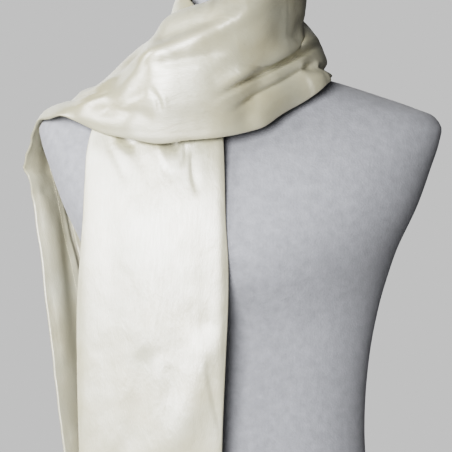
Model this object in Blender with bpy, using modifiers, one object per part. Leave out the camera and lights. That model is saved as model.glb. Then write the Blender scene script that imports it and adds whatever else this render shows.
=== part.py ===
"""An evening stole wound once round the neck of a limbless dress form.

Metres, +Z up. The form faces -Y, and the origin is the middle of the flat
underside that it stands on. The stole is one long piece of satin, folded
in half along its length, with both long edges turned in towards its back.
It rises from the front fall, goes round the nape from the form's right side
to its left, crosses the front, passes over the form's right shoulder and
falls behind the arm end.
"""

import math
from collections import namedtuple

import bpy
import bmesh
import numpy as np
from mathutils import Vector

# Sizes of the cloth
CUT_WIDTH = 0.70
DOUBLE_WIDTH = CUT_WIDTH / 2
WALL = 0.0016
SEAM_GAP = 0.0006
EDGE_POINTS = 3
RETURN_POINTS = 4
SLIT = 0.006

# Sizes of the dress form
FORM_POINTS = 44
FORM_ROW = 0.026

# Horizontal sections of the form, from its underside up. square is the
# superellipse power: 2 is an ellipse, and more is boxier.
FormRow = namedtuple("FormRow", "height half_width front back square")
FORM_ROWS = [
    FormRow(0.000, 0.1485, 0.098, 0.094, 2.2),
    FormRow(0.004, 0.1545, 0.103, 0.099, 2.2),
    FormRow(0.014, 0.1585, 0.107, 0.103, 2.3),
    FormRow(0.070, 0.1605, 0.109, 0.107, 2.3),
    FormRow(0.150, 0.1535, 0.103, 0.099, 2.3),
    FormRow(0.244, 0.1475, 0.092, 0.083, 2.2),
    FormRow(0.307, 0.1510, 0.094, 0.082, 2.2),
    FormRow(0.350, 0.1570, 0.099, 0.089, 2.2),
    FormRow(0.393, 0.1665, 0.109, 0.099, 2.2),
    FormRow(0.420, 0.1745, 0.118, 0.105, 2.2),
    FormRow(0.450, 0.1845, 0.124, 0.109, 2.3),
    FormRow(0.507, 0.2105, 0.119, 0.112, 2.4),
    FormRow(0.550, 0.2260, 0.105, 0.108, 2.4),
    FormRow(0.582, 0.2365, 0.087, 0.099, 2.3),
    FormRow(0.598, 0.2390, 0.077, 0.092, 2.2),
    FormRow(0.610, 0.2315, 0.069, 0.086, 2.1),
    FormRow(0.620, 0.2095, 0.064, 0.082, 2.0),
    FormRow(0.635, 0.1665, 0.058, 0.077, 1.9),
    FormRow(0.650, 0.1200, 0.052, 0.073, 1.8),
    FormRow(0.656, 0.0990, 0.051, 0.072, 1.8),
    FormRow(0.665, 0.0780, 0.051, 0.070, 1.9),
    FormRow(0.682, 0.0640, 0.052, 0.066, 2.0),
    FormRow(0.710, 0.0590, 0.054, 0.061, 2.0),
    FormRow(0.760, 0.0575, 0.059, 0.054, 2.0),
    FormRow(0.790, 0.0570, 0.061, 0.051, 2.0),
    FormRow(0.796, 0.0545, 0.058, 0.048, 2.0),
    FormRow(0.798, 0.0490, 0.053, 0.043, 2.0),
]

# Sections across the stole, in order along its length. low and top are its
# two side edges, and crease is a point of the long crease between them. The
# swells are how far the cloth bows out below and above the crease, turn is
# the width turned in at the low edge, and roll is the radius of both edges.
Section = namedtuple("Section", "low crease top swell_low swell_top turn roll")
FRONT_FALL = [
    Section((-0.181, -0.098, 0.034), (-0.101, -0.121, 0.034), (-0.023, -0.126, 0.034), 0.0015, 0.0012, 0.080, 0.0020),
    Section((-0.181, -0.099, 0.130), (-0.101, -0.122, 0.130), (-0.023, -0.127, 0.130), 0.0015, 0.0012, 0.080, 0.0020),
    Section((-0.182, -0.100, 0.228), (-0.102, -0.123, 0.228), (-0.023, -0.128, 0.228), 0.0018, 0.0014, 0.080, 0.0020),
    Section((-0.184, -0.101, 0.330), (-0.100, -0.124, 0.330), (-0.019, -0.130, 0.330), 0.0020, 0.0015, 0.080, 0.0020),
    Section((-0.183, -0.101, 0.400), (-0.098, -0.125, 0.400), (-0.016, -0.131, 0.400), 0.0022, 0.0016, 0.080, 0.0020),
    Section((-0.180, -0.100, 0.440), (-0.097, -0.125, 0.440), (-0.016, -0.131, 0.440), 0.0024, 0.0018, 0.080, 0.0020),
    Section((-0.176, -0.097, 0.490), (-0.096, -0.122, 0.490), (-0.019, -0.129, 0.490), 0.0026, 0.0020, 0.080, 0.0020),
    Section((-0.174, -0.092, 0.535), (-0.095, -0.115, 0.535), (-0.020, -0.122, 0.535), 0.0026, 0.0020, 0.080, 0.0020),
    Section((-0.171, -0.087, 0.567), (-0.095, -0.109, 0.567), (-0.021, -0.113, 0.567), 0.0024, 0.0018, 0.080, 0.0022),
    Section((-0.167, -0.082, 0.588), (-0.094, -0.103, 0.588), (-0.022, -0.105, 0.589), 0.0022, 0.0016, 0.080, 0.0024),
]
NECK_RISE = [
    Section((-0.154, -0.071, 0.622), (-0.090, -0.093, 0.632), (-0.026, -0.091, 0.641), 0.0030, 0.0030, 0.070, 0.0026),
    Section((-0.133, -0.050, 0.650), (-0.090, -0.078, 0.678), (-0.042, -0.082, 0.702), 0.0040, 0.0040, 0.055, 0.0026),
    Section((-0.108, -0.014, 0.668), (-0.084, -0.036, 0.704), (-0.057, -0.044, 0.739), 0.0040, 0.0040, 0.050, 0.0028),
]
NAPE = [
    Section((-0.097, 0.028, 0.672), (-0.084, 0.010, 0.715), (-0.072, -0.010, 0.757), 0.0060, 0.0030, 0.050, 0.0028),
    Section((-0.084, 0.064, 0.669), (-0.079, 0.051, 0.715), (-0.064, 0.035, 0.764), 0.0090, 0.0050, 0.050, 0.0028),
    Section((-0.050, 0.094, 0.665), (-0.048, 0.084, 0.714), (-0.040, 0.062, 0.766), 0.0110, 0.0060, 0.050, 0.0028),
    Section((0.000, 0.101, 0.662), (0.000, 0.091, 0.713), (0.000, 0.070, 0.768), 0.0120, 0.0070, 0.050, 0.0028),
    Section((0.052, 0.089, 0.663), (0.048, 0.080, 0.714), (0.041, 0.058, 0.769), 0.0120, 0.0070, 0.050, 0.0028),
    Section((0.090, 0.053, 0.663), (0.073, 0.043, 0.721), (0.069, 0.031, 0.770), 0.0080, 0.0040, 0.050, 0.0028),
]
FRONT_CROSS = [
    Section((0.106, 0.004, 0.662), (0.074, 0.000, 0.725), (0.079, 0.000, 0.771), 0.0068, 0.0020, 0.060, 0.0026),
    Section((0.091, -0.052, 0.645), (0.066, -0.048, 0.692), (0.068, -0.042, 0.772), 0.0090, 0.0060, 0.060, 0.0026),
    Section((0.069, -0.077, 0.624), (0.048, -0.077, 0.671), (0.050, -0.068, 0.771), 0.0100, 0.0150, 0.060, 0.0026),
    Section((0.047, -0.097, 0.604), (0.024, -0.100, 0.654), (0.028, -0.083, 0.766), 0.0100, 0.0210, 0.060, 0.0026),
    Section((0.023, -0.112, 0.592), (0.005, -0.118, 0.640), (0.003, -0.089, 0.757), 0.0070, 0.0230, 0.060, 0.0026),
    Section((-0.018, -0.121, 0.583), (-0.022, -0.131, 0.631), (-0.024, -0.084, 0.743), 0.0030, 0.0230, 0.060, 0.0026),
    Section((-0.058, -0.124, 0.579), (-0.063, -0.136, 0.634), (-0.052, -0.070, 0.735), 0.0010, 0.0210, 0.060, 0.0026),
    Section((-0.097, -0.124, 0.575), (-0.102, -0.133, 0.633), (-0.080, -0.045, 0.727), 0.0010, 0.0170, 0.060, 0.0026),
    Section((-0.126, -0.115, 0.581), (-0.126, -0.120, 0.629), (-0.090, -0.015, 0.722), 0.0020, 0.0140, 0.060, 0.0026),
    Section((-0.160, -0.095, 0.589), (-0.147, -0.100, 0.620), (-0.097, 0.010, 0.716), 0.0040, 0.0110, 0.060, 0.0026),
    Section((-0.190, -0.075, 0.603), (-0.168, -0.072, 0.622), (-0.103, 0.030, 0.707), 0.0045, 0.0090, 0.056, 0.0026),
    Section((-0.209, -0.058, 0.611), (-0.187, -0.040, 0.628), (-0.106, 0.048, 0.695), 0.0040, 0.0090, 0.052, 0.0024),
]
SHOULDER_FALL = [
    Section((-0.226, -0.038, 0.608), (-0.201, -0.003, 0.6285), (-0.107, 0.064, 0.680), 0.0055, 0.0090, 0.048, 0.0022),
    Section((-0.239, -0.014, 0.607), (-0.213, 0.028, 0.6230), (-0.107, 0.083, 0.659), 0.0065, 0.0110, 0.046, 0.0021),
    Section((-0.247, 0.008, 0.596), (-0.220, 0.050, 0.606), (-0.106, 0.098, 0.632), 0.0060, 0.0110, 0.045, 0.0020),
    Section((-0.256, 0.035, 0.574), (-0.219, 0.070, 0.582), (-0.107, 0.110, 0.599), 0.0060, 0.0110, 0.045, 0.0020),
    Section((-0.262, 0.050, 0.554), (-0.214, 0.086, 0.555), (-0.107, 0.116, 0.564), 0.0050, 0.0100, 0.045, 0.0020),
    Section((-0.258, 0.056, 0.537), (-0.208, 0.095, 0.532), (-0.103, 0.118, 0.535), 0.0045, 0.0080, 0.045, 0.0020),
    Section((-0.252, 0.060, 0.508), (-0.199, 0.101, 0.502), (-0.098, 0.119, 0.500), 0.0045, 0.0060, 0.046, 0.0020),
    Section((-0.248, 0.061, 0.476), (-0.194, 0.104, 0.472), (-0.094, 0.119, 0.468), 0.0045, 0.0050, 0.048, 0.0020),
    Section((-0.243, 0.061, 0.445), (-0.189, 0.105, 0.441), (-0.090, 0.119, 0.438), 0.0045, 0.0050, 0.052, 0.0020),
    Section((-0.238, 0.061, 0.395), (-0.185, 0.106, 0.393), (-0.084, 0.118, 0.392), 0.0045, 0.0050, 0.058, 0.0020),
    Section((-0.231, 0.061, 0.340), (-0.178, 0.106, 0.340), (-0.077, 0.118, 0.340), 0.0045, 0.0050, 0.062, 0.0020),
    Section((-0.220, 0.060, 0.250), (-0.167, 0.106, 0.250), (-0.066, 0.118, 0.250), 0.0045, 0.0050, 0.066, 0.0020),
    Section((-0.206, 0.060, 0.140), (-0.153, 0.106, 0.140), (-0.053, 0.118, 0.140), 0.0045, 0.0050, 0.070, 0.0020),
    Section((-0.197, 0.060, 0.038), (-0.144, 0.106, 0.038), (-0.044, 0.118, 0.038), 0.0045, 0.0050, 0.072, 0.0020),
]

# The stretches of the stole, in order: name, sections, length of a row of
# faces, and points across each side of the crease.
Stretch = namedtuple("Stretch", "name sections row low_points top_points")
STRETCHES = [
    Stretch("front_fall", FRONT_FALL, 0.030, 6, 6),
    Stretch("neck_rise", NECK_RISE, 0.016, 4, 4),
    Stretch("nape_wrap", NAPE, 0.014, 6, 6),
    Stretch("front_cross", FRONT_CROSS, 0.0115, 7, 11),
    Stretch("shoulder_fall", SHOULDER_FALL, 0.026, 7, 8),
]

# Soft folds pressed in or raised along a line, with height positive outwards.
Fold = namedtuple("Fold", "start end width height")
FOLDS = [
    # the deep main crease of the crossing, on the neck's left side
    Fold((0.088, -0.014, 0.699), (0.050, -0.082, 0.674), 0.0050, -0.0060),
    Fold((0.050, -0.082, 0.674), (0.000, -0.126, 0.638), 0.0050, -0.0040),
    # second groove, below the narrow ridge under the main crease
    Fold((0.086, -0.024, 0.676), (0.045, -0.090, 0.645), 0.0055, -0.0050),
    Fold((0.045, -0.090, 0.645), (0.006, -0.122, 0.620), 0.0055, -0.0030),
    # dip over the tip that lies on the shoulder
    Fold((0.098, 0.020, 0.671), (0.096, -0.014, 0.671), 0.0065, -0.0100),
    # hollow at the neck's left side, between the collar and the roll below
    Fold((0.078, 0.010, 0.727), (0.067, -0.044, 0.700), 0.0070, -0.0030),
    # upright fold of the collar
    Fold((0.056, -0.068, 0.772), (0.056, -0.078, 0.706), 0.0050, -0.0030),
    # ridge from the shoulder up to the front of the neck
    Fold((-0.130, -0.060, 0.676), (-0.078, -0.098, 0.688), 0.0080, 0.0030),
    Fold((-0.078, -0.098, 0.688), (-0.014, -0.116, 0.706), 0.0080, 0.0050),
    # hollow above that ridge
    Fold((-0.107, -0.040, 0.700), (-0.060, -0.085, 0.713), 0.0110, -0.0060),
    # groove below it
    Fold((-0.076, -0.108, 0.678), (-0.020, -0.122, 0.685), 0.0060, -0.0035),
    # valley low on the crossing, towards the shoulder
    Fold((-0.150, -0.100, 0.612), (-0.098, -0.130, 0.612), 0.0080, -0.0040),
    # grooves round the nape
    Fold((-0.060, 0.092, 0.692), (0.060, 0.092, 0.690), 0.0060, -0.0035),
    Fold((-0.030, 0.086, 0.738), (0.076, 0.056, 0.730), 0.0060, -0.0030),
    # gathers of the front fall where it leaves the crossing
    Fold((-0.122, -0.098, 0.590), (-0.114, -0.106, 0.548), 0.0055, -0.0024),
    Fold((-0.102, -0.102, 0.590), (-0.098, -0.110, 0.556), 0.0045, 0.0020),
    Fold((-0.080, -0.104, 0.590), (-0.082, -0.112, 0.552), 0.0050, -0.0024),
    Fold((-0.060, -0.104, 0.590), (-0.056, -0.114, 0.545), 0.0050, 0.0022),
    Fold((-0.044, -0.104, 0.590), (-0.038, -0.118, 0.530), 0.0050, -0.0022),
    # long folds of the shoulder fall, down the back
    Fold((-0.206, 0.098, 0.540), (-0.146, 0.108, 0.060), 0.0120, -0.0050),
    Fold((-0.150, 0.116, 0.560), (-0.088, 0.116, 0.060), 0.0110, -0.0030),
    Fold((-0.234, 0.076, 0.540), (-0.176, 0.086, 0.060), 0.0090, 0.0030),
]

SATIN = ("ivory_satin", (0.83, 0.81, 0.72, 1.0), 0.32)
JERSEY = ("grey_white_jersey", (0.62, 0.63, 0.66, 1.0), 0.85)


def material(name, colour, roughness):
    """A plain Principled BSDF."""
    made = bpy.data.materials.new(name)
    made.use_nodes = True
    shader = made.node_tree.nodes["Principled BSDF"]
    shader.inputs["Base Color"].default_value = colour
    shader.inputs["Roughness"].default_value = roughness
    shader.inputs["Metallic"].default_value = 0.0
    made.diffuse_color = colour
    return made


def smooth_rows(rows, along, places):
    """Rows of numbers read at places by a smooth curve through all of them."""
    rows = np.asarray(rows, float)
    along = np.asarray(along, float)
    step = np.diff(along)
    slope = np.diff(rows, axis=0) / step[:, None]
    turn = np.empty_like(rows)
    turn[0], turn[-1] = slope[0], slope[-1]
    before, after = step[:-1, None], step[1:, None]
    turn[1:-1] = (slope[:-1] * after + slope[1:] * before) / (before + after)
    at = np.clip(np.searchsorted(along, places, side="right") - 1, 0, len(step) - 1)
    h = step[at][:, None]
    t = ((places - along[at]) / step[at])[:, None]
    return (
        rows[at] * (1 + 2 * t) * (1 - t) ** 2
        + turn[at] * h * t * (1 - t) ** 2
        + rows[at + 1] * t ** 2 * (3 - 2 * t)
        + turn[at + 1] * h * t ** 2 * (t - 1)
    )


def grid_mesh(name, rings, closed):
    """A mesh of quads between rings that have the same number of points."""
    shape = bmesh.new()
    rows = [[shape.verts.new(p) for p in ring] for ring in rings]
    count = len(rings[0])
    for near, far in zip(rows, rows[1:]):
        for i in range(count if closed else count - 1):
            j = (i + 1) % count
            shape.faces.new((near[i], near[j], far[j], far[i]))
    if closed:
        shape.faces.new(list(reversed(rows[0])))
        shape.faces.new(rows[-1])
    mesh = bpy.data.meshes.new(name)
    shape.to_mesh(mesh)
    shape.free()
    return mesh


def add_object(name, mesh, finish, collection):
    """Links a mesh as a named object, shaded smooth but for real corners."""
    mesh.materials.append(finish)
    mesh.shade_smooth()
    mesh.set_sharp_from_angle(angle=math.radians(50))
    made = bpy.data.objects.new(name, mesh)
    collection.objects.link(made)
    return made


def form_ring(row):
    """The points of one horizontal section of the form."""
    height, half_width, front, back, square = row
    ring = []
    for k in range(FORM_POINTS):
        angle = 2 * math.pi * k / FORM_POINTS
        across, deep = math.cos(angle), math.sin(angle)
        x = half_width * math.copysign(abs(across) ** (2 / square), across)
        y = math.copysign(abs(deep) ** (2 / square), deep)
        ring.append(Vector((x, y * (back if deep > 0 else front), height)))
    return ring


def build_form(finish, collection):
    """The limbless form: a smooth trunk, shoulders and neck in one body."""
    rows = np.array(FORM_ROWS)
    along = np.concatenate([[0], np.cumsum(np.linalg.norm(np.diff(rows[:, :2], axis=0), axis=1))])
    places = []
    for start, end in zip(along, along[1:]):
        parts = max(1, round((end - start) / FORM_ROW))
        places += list(np.linspace(start, end, parts, endpoint=False))
    places.append(along[-1])
    rings = [form_ring(row) for row in smooth_rows(rows, along, np.array(places))]
    mesh = grid_mesh("dress_form", rings, closed=True)
    return add_object("dress_form", mesh, finish, collection)


def section_numbers(section):
    return [*section.low, *section.crease, *section.top, *section[3:]]


def middle(numbers):
    """The point that the length of the stole is measured through."""
    return (numbers[..., 0:3] + numbers[..., 3:6] + numbers[..., 6:9]) / 3


def unit(vectors):
    return vectors / np.linalg.norm(vectors, axis=-1, keepdims=True)


def bowed_line(start, end, swell, tangent, points):
    """Points from start to end that bow out by swell half way."""
    t = np.linspace(0, 1, points + 1)[:, None]
    out = unit(np.cross(end - start, tangent))
    return start + (end - start) * t + out * 4 * swell * t * (1 - t)


def read_along(curve, distance):
    """Points of a polyline at distances from its first point."""
    steps = np.linalg.norm(np.diff(curve, axis=0), axis=1)
    run = np.concatenate([[0], np.cumsum(steps)])
    return np.stack([np.interp(distance, run, axis) for axis in curve.T], axis=1)


def turned_edge(face, normal, roll, width):
    """The cloth beyond the first point of the face: half a turn, then back
    along the inner side. Listed from its free end, with its own normals."""
    along = np.linspace(width, 0, RETURN_POINTS + 1)
    points = list(read_along(face - normal * 2 * roll, along))
    normals = []
    steps = np.concatenate([[0], np.cumsum(np.linalg.norm(np.diff(face, axis=0), axis=1))])
    for distance in along:
        normals.append(np.array([np.interp(distance, steps, axis) for axis in normal.T]))
    beyond = unit(face[0] - face[1])
    for k in range(1, EDGE_POINTS + 1):
        angle = math.pi * (1 - k / (EDGE_POINTS + 1))
        swing = normal[0] * (math.cos(angle) - 1) + beyond * math.sin(angle)
        points.append(face[0] + roll * swing)
        normals.append(normal[0])
    return np.array(points), np.array(normals)


def section_points(numbers, tangent, stretch):
    """One section in space. Its whole length is the width of the double
    cloth, so what the face does not use is turned in at its two edges."""
    low, crease, top = numbers[0:3], numbers[3:6], numbers[6:9]
    swell_low, swell_top, turn, roll = numbers[9:13]
    below = bowed_line(low, crease, swell_low, tangent, stretch.low_points)
    above = bowed_line(crease, top, swell_top, tangent, stretch.top_points)
    face = np.concatenate([below, above[1:]])
    normal = unit(np.cross(np.gradient(face, axis=0), tangent))
    length = np.linalg.norm(np.diff(face, axis=0), axis=1).sum()
    rest = DOUBLE_WIDTH - length - turn - 2 * math.pi * roll
    rest = min(rest, length - turn - SLIT)
    before, before_normal = turned_edge(face, normal, roll, turn)
    after, after_normal = turned_edge(face[::-1], normal[::-1], roll, rest)
    points = np.concatenate([before, face, after[::-1]])
    normals = np.concatenate([before_normal, normal, after_normal[::-1]])
    return points + fold_height(points)[:, None] * normals


def fold_height(points):
    """How far the folds push each point outwards."""
    height = np.zeros(len(points))
    for fold in FOLDS:
        start, end = np.array(fold.start), np.array(fold.end)
        line = end - start
        share = np.clip((points - start) @ line / (line @ line), 0, 1)
        away = np.linalg.norm(points - start - share[:, None] * line, axis=1)
        height += fold.height * np.exp(-(away / fold.width) ** 2)
    return height


def build_stole(finish, collection):
    """All stretches of the stole, read from one smooth run of sections."""
    sections = [s for stretch in STRETCHES for s in stretch.sections]
    numbers = np.array([section_numbers(s) for s in sections])
    steps = np.linalg.norm(np.diff(middle(numbers), axis=0), axis=1)
    along = np.concatenate([[0], np.cumsum(steps)])
    made = []
    first = 0
    for stretch in STRETCHES:
        last = min(first + len(stretch.sections), len(sections) - 1)
        start = along[first] + (SEAM_GAP / 2 if first else 0)
        end = along[last] - (SEAM_GAP / 2 if last < len(sections) - 1 else 0)
        places = np.linspace(start, end, 1 + round((end - start) / stretch.row))
        rows = smooth_rows(numbers, along, places)
        nudge = 1e-4
        ahead = middle(smooth_rows(numbers, along, np.minimum(places + nudge, along[-1])))
        behind = middle(smooth_rows(numbers, along, np.maximum(places - nudge, 0)))
        rings = [section_points(r, t, stretch) for r, t in zip(rows, ahead - behind)]
        mesh = grid_mesh(stretch.name, rings, closed=False)
        cloth = add_object(stretch.name, mesh, finish, collection)
        wall = cloth.modifiers.new("wall", "SOLIDIFY")
        wall.thickness = WALL
        wall.offset = 0.0
        wall.use_even_offset = True
        made.append(cloth)
        first = last
    return made


def main():
    for old in list(bpy.data.objects):
        bpy.data.objects.remove(old)
    collection = bpy.data.collections.new("stole_on_dress_form")
    bpy.context.scene.collection.children.link(collection)
    build_form(material(*JERSEY), collection)
    build_stole(material(*SATIN), collection)


main()
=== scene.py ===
"""Looks for an evening stole wound round the neck of a limbless dress form.

Metres, +Z up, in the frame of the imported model. The stole is one continuous
sheet of ivory satin, folded in four along its length, that stands for its
five CAD stretches. The form gets a fine jersey skin.
"""

import math
from collections import namedtuple

import bpy
import numpy as np
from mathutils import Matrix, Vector, noise


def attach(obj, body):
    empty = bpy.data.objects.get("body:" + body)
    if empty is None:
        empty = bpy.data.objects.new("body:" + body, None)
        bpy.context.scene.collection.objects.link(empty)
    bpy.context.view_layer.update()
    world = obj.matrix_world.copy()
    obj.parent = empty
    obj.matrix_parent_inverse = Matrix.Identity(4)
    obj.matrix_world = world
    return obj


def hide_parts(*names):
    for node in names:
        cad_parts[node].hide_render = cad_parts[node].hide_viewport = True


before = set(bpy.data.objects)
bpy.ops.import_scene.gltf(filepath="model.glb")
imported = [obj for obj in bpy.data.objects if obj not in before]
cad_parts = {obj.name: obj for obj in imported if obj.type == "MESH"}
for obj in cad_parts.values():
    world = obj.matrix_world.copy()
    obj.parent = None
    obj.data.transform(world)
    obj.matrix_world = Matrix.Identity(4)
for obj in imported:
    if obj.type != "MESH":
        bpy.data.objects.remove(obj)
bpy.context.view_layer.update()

bl_info = {
    "name": "Evening stole on a dress form",
    "version": (1, 0, 0),
    "blender": (4, 5, 0),
    "location": "3D View > Sidebar > Stole",
    "description": "Builds the satin stole, its sewing, the jersey form and the studio",
    "category": "Object",
}

# The cut of the double cloth, folded once along its length, and the slit that
# its two turned-in sides leave at least between them at the back
DOUBLE_WIDTH = 0.35
SLIT = 0.006

# Points across one section of the sheet: the face below and above its long
# crease, the round of one edge, and the cloth turned in behind it
LOW_POINTS = 28
TOP_POINTS = 48
EDGE_POINTS = 4
RETURN_POINTS = 11

# The pressed edges are this share as round as on the CAD solids
PRESSED = 0.62

# A crease follows a curve of some points, and fades in and out over this
# share of its length. A pleat is this share as wide on its steep side, and a
# step reaches this many widths.
CREASE_POINTS = 13
CREASE_ENDS = 0.25
STEEP = 0.38
STEP_REACH = 3.5
# In y, front creases end at FRONT_LIMIT, and back ones begin at BACK_START and
# are at their full height BACK_GROWTH behind it.
FRONT_LIMIT = 0.03
BACK_START = 0.02
BACK_GROWTH = 0.03

# Waves of the fine unevenness: their length, their seed and their share.
# Across the cloth they are CROSS_DENSITY times as dense as along it. Each is a
# noise of some levels, each of them finer than the one before by NOISE_STEP.
# The height changes from one stretch to the next over some rows.
Wave = namedtuple("Wave", "length seed share")
WAVES = [Wave(0.045, 3.0, 1.0), Wave(0.017, 9.0, 0.5)]
CROSS_DENSITY = 0.8
NOISE_FALL = 1.0
NOISE_STEP = 2.1
NOISE_LEVELS = 3
BLEND_ROWS = 9

# The turned-in cloth is crumpled by this share of the unevenness, in waves of
# these lengths, from a short way behind the edge.
CRUMPLE = 1.1
CRUMPLE_ALONG = 0.030
CRUMPLE_ACROSS = 0.012
CRUMPLE_START = 0.012
LOW_SEED = 21.0
TOP_SEED = 33.0

# Behind its low edge, the turned-in cloth of the shoulder end stands out by
# BULGE. It rises over about BULGE_RISE, is fuller or flatter by BULGE_CHANGE in
# waves along the cloth, and falls by BULGE_FALL towards its hem.
BULGE = 0.010
BULGE_RISE = 0.011
BULGE_WAVE = 0.060
BULGE_SEED = 5.0
BULGE_CHANGE = 0.35
BULGE_FALL = 0.75

# A hem has a row of points this far from its edge, and thins to the cloth
# over this width. The points across it are the first ones of each section.
HEM_EDGE = 0.003
HEM_STEP = 0.0012
HEM_POINTS = 3
TINY = 1e-6

# The thread: its radius, and the share of a stitch that it takes
THREAD = 0.00028
STITCH_SHARE = 0.72

# Distance between two rings of the jersey skin, and the steepest bend that
# is still shaded smooth
RING_GAP = 0.006
SHARP = math.radians(50)
# A wave texture of this scale has about one wave in a metre.
WAVE_SCALE = 0.314

# Horizontal sections of the form, from its underside up. square is the
# superellipse power: 2 is an ellipse, and more is boxier.
FormRow = namedtuple("FormRow", "height half_width front back square")
FORM_ROWS = [
    FormRow(0.000, 0.1485, 0.098, 0.094, 2.2),
    FormRow(0.004, 0.1545, 0.103, 0.099, 2.2),
    FormRow(0.014, 0.1585, 0.107, 0.103, 2.3),
    FormRow(0.070, 0.1605, 0.109, 0.107, 2.3),
    FormRow(0.150, 0.1535, 0.103, 0.099, 2.3),
    FormRow(0.244, 0.1475, 0.092, 0.083, 2.2),
    FormRow(0.307, 0.1510, 0.089, 0.082, 2.2),
    FormRow(0.350, 0.1570, 0.090, 0.089, 2.1),
    FormRow(0.374, 0.1620, 0.095, 0.094, 2.0),
    FormRow(0.393, 0.1665, 0.104, 0.099, 1.9),
    FormRow(0.420, 0.1745, 0.118, 0.105, 1.9),
    FormRow(0.450, 0.1845, 0.125, 0.109, 2.1),
    FormRow(0.507, 0.2105, 0.119, 0.112, 2.4),
    FormRow(0.550, 0.2260, 0.105, 0.108, 2.4),
    FormRow(0.582, 0.2365, 0.087, 0.099, 2.3),
    FormRow(0.598, 0.2390, 0.077, 0.092, 2.2),
    FormRow(0.610, 0.2315, 0.069, 0.086, 2.1),
    FormRow(0.620, 0.2095, 0.064, 0.082, 2.0),
    FormRow(0.635, 0.1665, 0.058, 0.077, 1.9),
    FormRow(0.650, 0.1200, 0.052, 0.073, 1.8),
    FormRow(0.656, 0.0990, 0.051, 0.072, 1.8),
    FormRow(0.665, 0.0780, 0.051, 0.070, 1.9),
    FormRow(0.682, 0.0640, 0.052, 0.066, 2.0),
    FormRow(0.710, 0.0590, 0.054, 0.061, 2.0),
    FormRow(0.760, 0.0575, 0.059, 0.054, 2.0),
    FormRow(0.790, 0.0570, 0.061, 0.051, 2.0),
    FormRow(0.796, 0.0545, 0.058, 0.048, 2.0),
    FormRow(0.798, 0.0490, 0.053, 0.043, 2.0),
]

# Sections across the stole, in order along its length. low and top are its
# two side edges, and crease is a point of the long crease between them. The
# swells are how far the cloth bows out below and above the crease, turn is
# the width turned in at the low edge, and roll is the radius of both edges.
Section = namedtuple("Section", "low crease top swell_low swell_top turn roll")
# Where each of them stands in a section's row of numbers
LOW, CREASE, TOP = slice(0, 3), slice(3, 6), slice(6, 9)
SWELL_LOW, SWELL_TOP, TURN, ROLL = 9, 10, 11, 12
FRONT_FALL = [
    Section((-0.181, -0.098, 0.034), (-0.101, -0.121, 0.034), (-0.023, -0.126, 0.034),
            0.0015, 0.0012, 0.080, 0.0020),
    Section((-0.181, -0.099, 0.130), (-0.101, -0.122, 0.130), (-0.023, -0.127, 0.130),
            0.0015, 0.0012, 0.080, 0.0020),
    Section((-0.184, -0.100, 0.228), (-0.102, -0.123, 0.228), (-0.023, -0.128, 0.228),
            0.0018, 0.0014, 0.080, 0.0020),
    Section((-0.187, -0.101, 0.330), (-0.100, -0.124, 0.330), (-0.019, -0.130, 0.330),
            0.0020, 0.0015, 0.080, 0.0020),
    Section((-0.187, -0.101, 0.400), (-0.098, -0.125, 0.400), (-0.016, -0.131, 0.400),
            0.0022, 0.0016, 0.080, 0.0020),
    Section((-0.184, -0.100, 0.440), (-0.097, -0.125, 0.440), (-0.016, -0.131, 0.440),
            0.0024, 0.0018, 0.080, 0.0020),
    Section((-0.180, -0.097, 0.490), (-0.096, -0.122, 0.490), (-0.019, -0.129, 0.490),
            0.0026, 0.0020, 0.080, 0.0020),
    Section((-0.178, -0.092, 0.535), (-0.095, -0.115, 0.535), (-0.020, -0.122, 0.535),
            0.0026, 0.0020, 0.080, 0.0020),
    Section((-0.176, -0.087, 0.567), (-0.095, -0.109, 0.567), (-0.021, -0.113, 0.567),
            0.0024, 0.0018, 0.080, 0.0022),
    Section((-0.171, -0.082, 0.588), (-0.094, -0.103, 0.588), (-0.022, -0.105, 0.589),
            0.0022, 0.0016, 0.080, 0.0024),
]
NECK_RISE = [
    Section((-0.154, -0.071, 0.622), (-0.090, -0.093, 0.632), (-0.026, -0.091, 0.641),
            0.0030, 0.0030, 0.070, 0.0026),
    Section((-0.133, -0.050, 0.650), (-0.090, -0.078, 0.678), (-0.042, -0.082, 0.702),
            0.0040, 0.0040, 0.055, 0.0026),
    Section((-0.108, -0.014, 0.668), (-0.084, -0.036, 0.704), (-0.057, -0.044, 0.739),
            0.0040, 0.0040, 0.050, 0.0028),
]
NAPE = [
    Section((-0.097, 0.028, 0.672), (-0.084, 0.010, 0.715), (-0.072, -0.010, 0.757),
            0.0060, 0.0030, 0.050, 0.0028),
    Section((-0.084, 0.064, 0.669), (-0.079, 0.051, 0.715), (-0.064, 0.035, 0.764),
            0.0090, 0.0050, 0.050, 0.0028),
    Section((-0.050, 0.094, 0.665), (-0.048, 0.084, 0.714), (-0.040, 0.062, 0.766),
            0.0110, 0.0060, 0.050, 0.0028),
    Section((0.000, 0.101, 0.662), (0.000, 0.091, 0.713), (0.000, 0.070, 0.768),
            0.0120, 0.0070, 0.050, 0.0028),
    Section((0.052, 0.089, 0.663), (0.048, 0.080, 0.714), (0.041, 0.058, 0.769),
            0.0120, 0.0070, 0.050, 0.0028),
    Section((0.090, 0.053, 0.663), (0.073, 0.043, 0.721), (0.069, 0.031, 0.770),
            0.0080, 0.0040, 0.050, 0.0028),
]
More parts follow.
